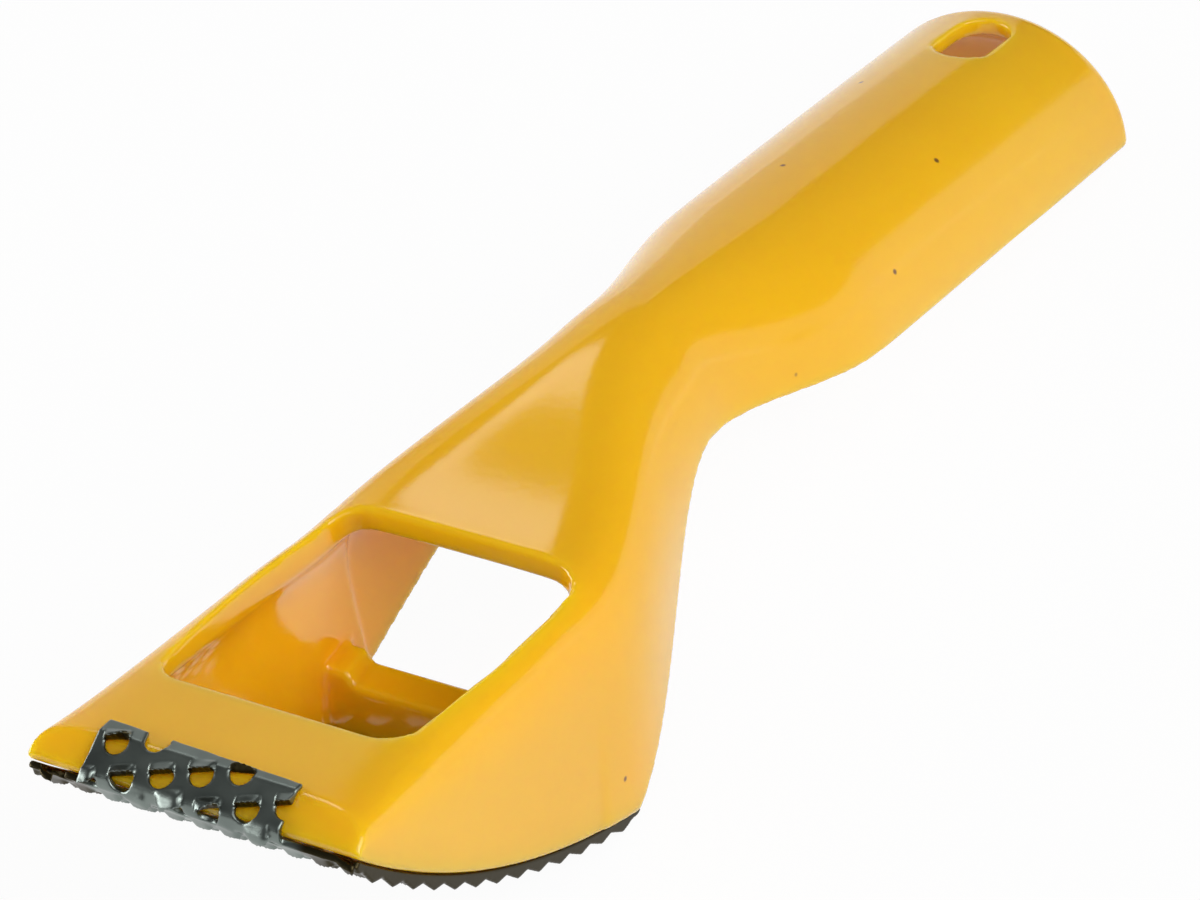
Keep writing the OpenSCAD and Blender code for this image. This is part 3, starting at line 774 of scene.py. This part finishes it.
# Stage, lights and camera
def white_stage():
    """A white floor that glows for the camera and for reflections, and still takes the shadow."""
    mesh = bpy.data.meshes.new("floor")
    half = FLOOR_HALF
    corners = [(-half, -half, 0), (half, -half, 0), (half, half, 0), (-half, half, 0)]
    mesh.from_pydata(corners, [], [(0, 1, 2, 3)])
    floor = bpy.data.objects.new("floor", mesh)
    bpy.context.collection.objects.link(floor)
    floor.location.z = cad_box[0][2] - FLOOR_GAP
    mat, nodes, links, bsdf = shader("floor_white")
    bsdf.inputs["Base Color"].default_value = opaque(FLOOR_TONE)
    bsdf.inputs["Roughness"].default_value = 0.9
    glow = nodes.new("ShaderNodeEmission")
    seen = nodes.new("ShaderNodeLightPath")
    both = nodes.new("ShaderNodeMath")
    both.operation = "MAXIMUM"
    links.new(seen.outputs["Is Camera Ray"], both.inputs[0])
    links.new(seen.outputs["Is Glossy Ray"], both.inputs[1])
    share = nodes.new("ShaderNodeMath")
    share.operation = "MULTIPLY"
    share.inputs[1].default_value = FLOOR_GLOW
    links.new(both.outputs[0], share.inputs[0])
    mix = nodes.new("ShaderNodeMixShader")
    links.new(share.outputs[0], mix.inputs["Fac"])
    links.new(bsdf.outputs["BSDF"], mix.inputs[1])
    links.new(glow.outputs["Emission"], mix.inputs[2])
    links.new(mix.outputs["Shader"], nodes["Material Output"].inputs["Surface"])
    set_material(floor, mat)


def world_light():
    """A dim white world that the camera alone sees as full white."""
    world = bpy.data.worlds.new("studio")
    bpy.context.scene.world = world
    world.use_nodes = True
    nodes, links = world.node_tree.nodes, world.node_tree.links
    back = nodes["Background"]
    back.inputs["Color"].default_value = (1, 1, 1, 1)
    back.inputs["Strength"].default_value = WORLD_LEVEL
    white = nodes.new("ShaderNodeBackground")
    white.inputs["Strength"].default_value = 1.0
    seen = nodes.new("ShaderNodeLightPath")
    mix = nodes.new("ShaderNodeMixShader")
    links.new(seen.outputs["Is Camera Ray"], mix.inputs["Fac"])
    links.new(back.outputs["Background"], mix.inputs[1])
    links.new(white.outputs["Background"], mix.inputs[2])
    links.new(mix.outputs["Shader"], nodes["World Output"].inputs["Surface"])


def softbox(name, towards, size, power, roll):
    """A rectangular lamp in the given direction from the tool, rolled about its own axis."""
    light = bpy.data.lights.new(name, "AREA")
    light.shape = "RECTANGLE"
    light.size, light.size_y = size
    light.energy = power
    lamp = bpy.data.objects.new(name, light)
    bpy.context.collection.objects.link(lamp)
    lamp.location = LAMP_AIM + LAMP_FAR * Vector(towards).normalized()
    facing = (LAMP_AIM - lamp.location).to_track_quat("-Z", "Y")
    lamp.rotation_euler = (facing @ Quaternion((0, 0, 1), math.radians(roll))).to_euler()


def photo_camera():
    """The photograph's view: a long lens from the front right, with the tool leaning in the frame."""
    at, aim, above = (Vector(p) for p in place([CAMERA_AT, CAMERA_AIM, CAMERA_ABOVE]))
    data = bpy.data.cameras.new("photo")
    data.sensor_width = CAMERA_SENSOR
    data.lens = CAMERA_LENS
    data.clip_start, data.clip_end = CAMERA_NEAR, CAMERA_FAR
    camera = bpy.data.objects.new("photo", data)
    bpy.context.collection.objects.link(camera)
    back = (at - aim).normalized()
    right = (above - at).cross(back).normalized()
    up = back.cross(right)
    turned = Matrix((right, up, back)).transposed().to_4x4()
    camera.matrix_world = Matrix.Translation(at) @ turned
    bpy.context.scene.camera = camera


plastic = yellow_plastic()
steel = blued_steel()
zinc = plain_metal("plated_steel", ZINC)
brass = plain_metal("insert_brass", BRASS)
set_material(build_body(), plastic)
set_material(build_blade(), steel)
set_material(frame["nodes"]["blade_screw"], zinc)
set_material(frame["nodes"]["screw_washer"], zinc)
set_material(frame["nodes"]["thread_insert"], brass)
white_stage()
world_light()
for lamp_row in LAMPS:
    softbox(*lamp_row)
photo_camera()
bpy.context.scene.view_settings.view_transform = "Standard"
